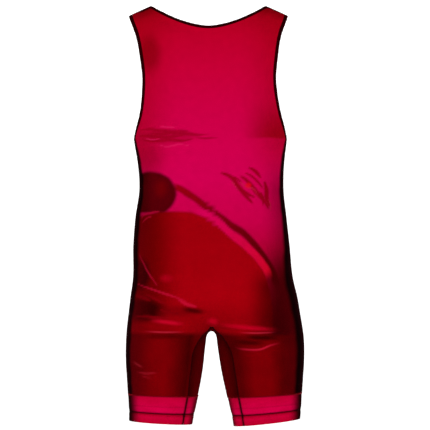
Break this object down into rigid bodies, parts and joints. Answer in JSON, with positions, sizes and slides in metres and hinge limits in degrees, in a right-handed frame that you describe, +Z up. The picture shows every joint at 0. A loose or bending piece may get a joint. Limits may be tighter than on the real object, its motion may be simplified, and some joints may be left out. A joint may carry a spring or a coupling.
{
  "type": "wrestling singlet",
  "caption": "One-piece sleeveless wrestling singlet with mid-thigh legs, low scoop neck and deep armholes, standing in the hollow form it has when worn by nobody.",
  "frame": {"origin": "on the shoulder line, midway between the two shoulder straps, where the garment is held when worn or hung", "axes": "+Z up along the body; +X towards the wearer's right; -Y out of the wearer's back, +Y out of the front"},
  "size_m": [0.3527, 0.2436, 0.8317],
  "materials": {
    "printed_knit": "satin",
    "dark_red_knit": "satin",
    "bright_knit": "satin",
    "black_binding": "satin"
  },
  "bodies": {
    "root": {"body_back": "printed_knit", "body_front": "printed_knit", "gusset": "dark_red_knit", "hem_band_left": "bright_knit", "hem_band_right": "bright_knit", "neck_binding": "black_binding", "armhole_binding_left": "black_binding", "armhole_binding_right": "black_binding"}
  },
  "joints": []
}
